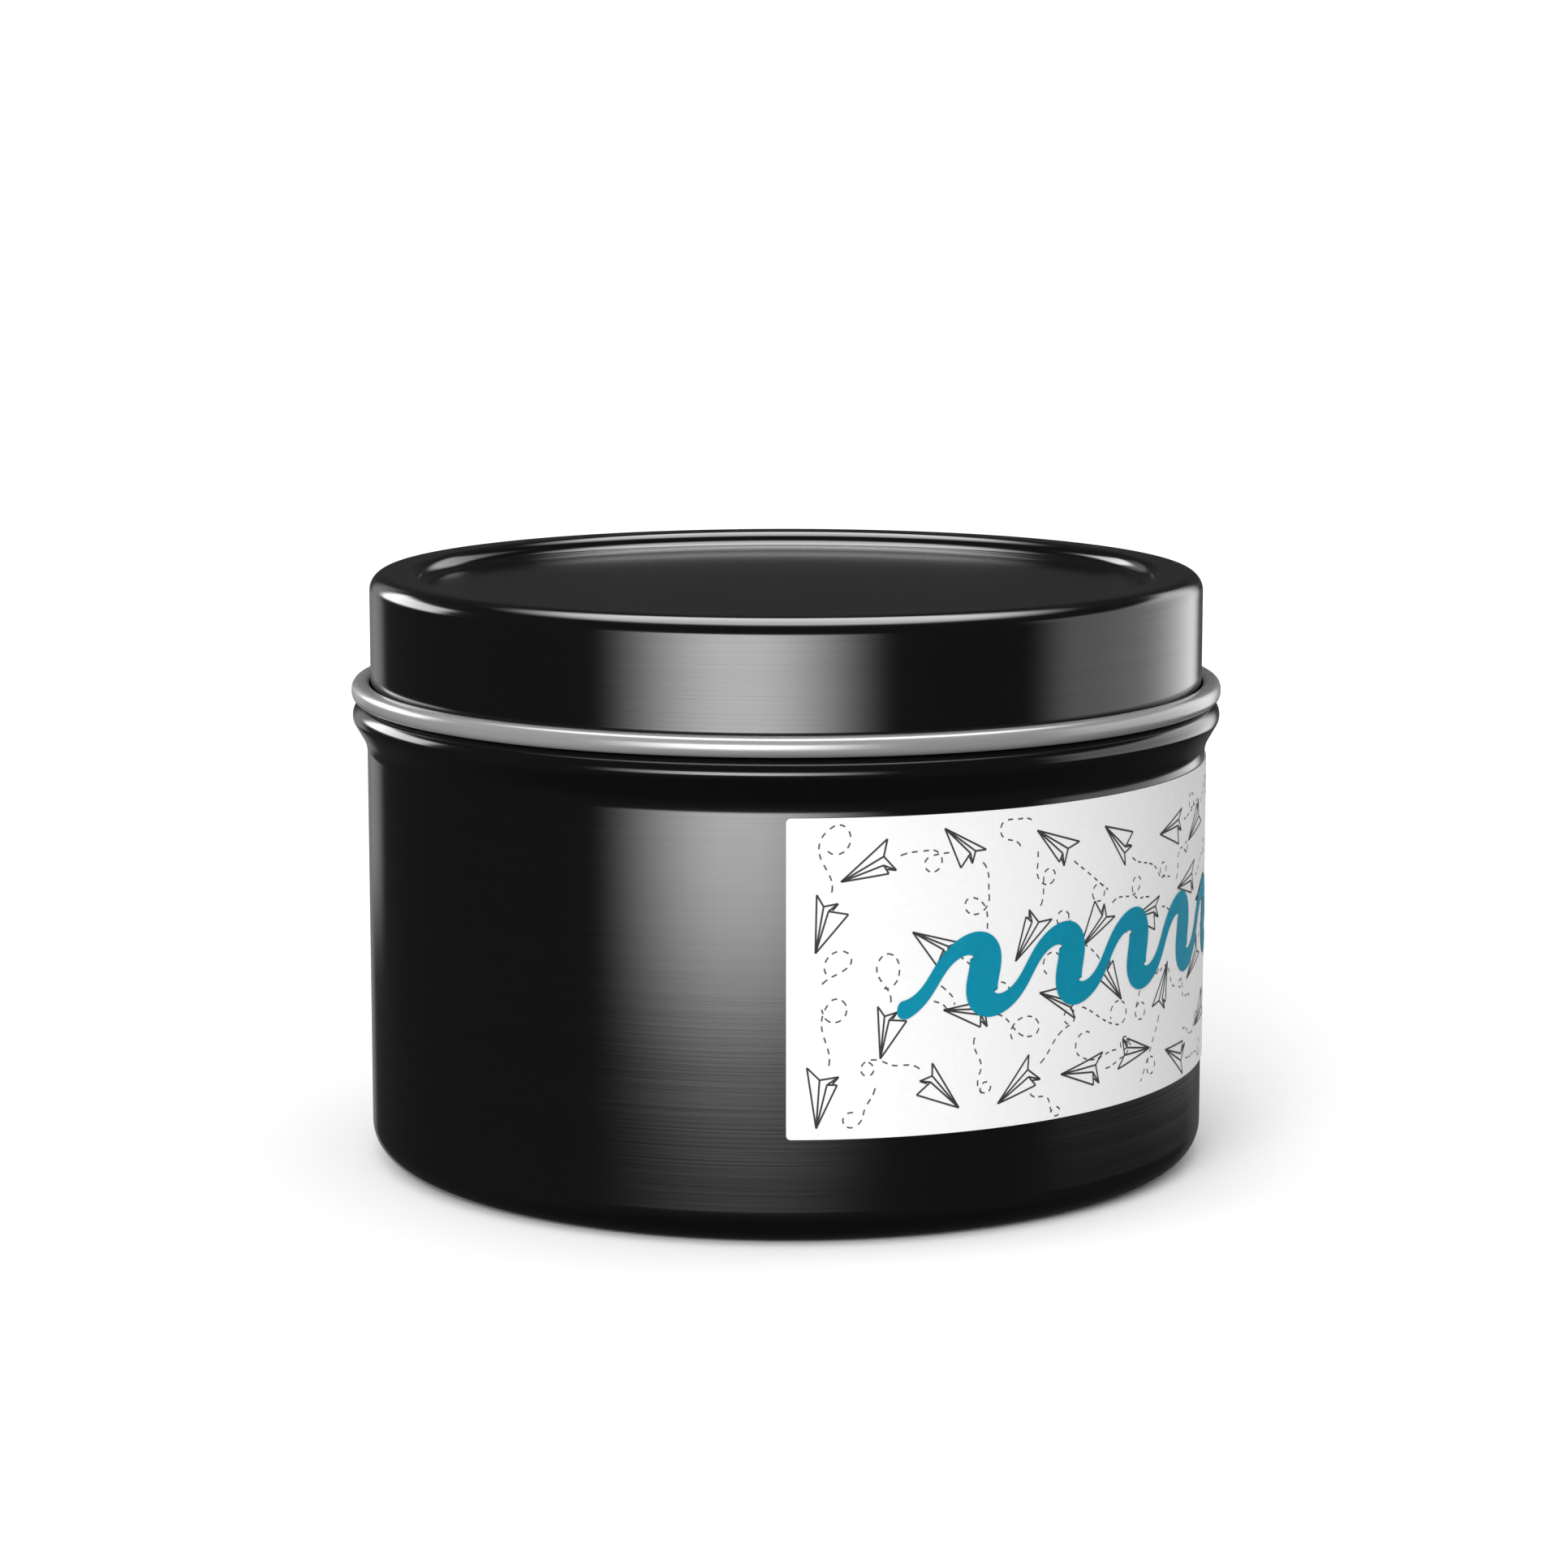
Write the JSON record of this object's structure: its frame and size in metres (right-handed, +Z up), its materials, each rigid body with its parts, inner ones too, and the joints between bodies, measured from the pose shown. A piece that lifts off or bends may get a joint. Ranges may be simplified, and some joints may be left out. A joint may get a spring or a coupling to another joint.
{
  "type": "candle tin",
  "caption": "Round slip-lid metal tin holding a poured wax candle with a cored wick, a wrap-round paper label and a lift-off lid with a rolled edge.",
  "frame": {"origin": "centre of the foot, on the surface the tin stands on", "axes": "+Z up along the tin's axis; -Y is the front, where the label's left edge is; the label wraps from there towards +X"},
  "size_m": [0.08, 0.08, 0.054],
  "materials": {
    "black_lacquer": "satin black lacquer over fine circumferential brushing",
    "bare_tinplate": "bare tinplate, bright with fine drawing marks",
    "label_stock": "smooth white label stock with a matt print",
    "soy_wax": "cream soy wax, soft sheen",
    "wick_cotton": "braided cotton, waxed",
    "wick_paper": "twisted paper yarn",
    "adhesive_foam": "white foam dot"
  },
  "bodies": {
    "tin": {"tin_body": "black_lacquer", "label": "label_stock", "base_sticker": "label_stock", "wax": "soy_wax", "wick": "wick_cotton", "wick_core": "wick_paper", "wick_sustainer": "bare_tinplate", "wick_dot": "adhesive_foam"},
    "lid": {"lid": "black_lacquer"}
  },
  "joints": [
    {"name": "lid_lift", "type": "slide", "parent": "tin", "child": "lid", "axis": [0, 0, 1], "range_m": [0, 0.06]}
  ]
}
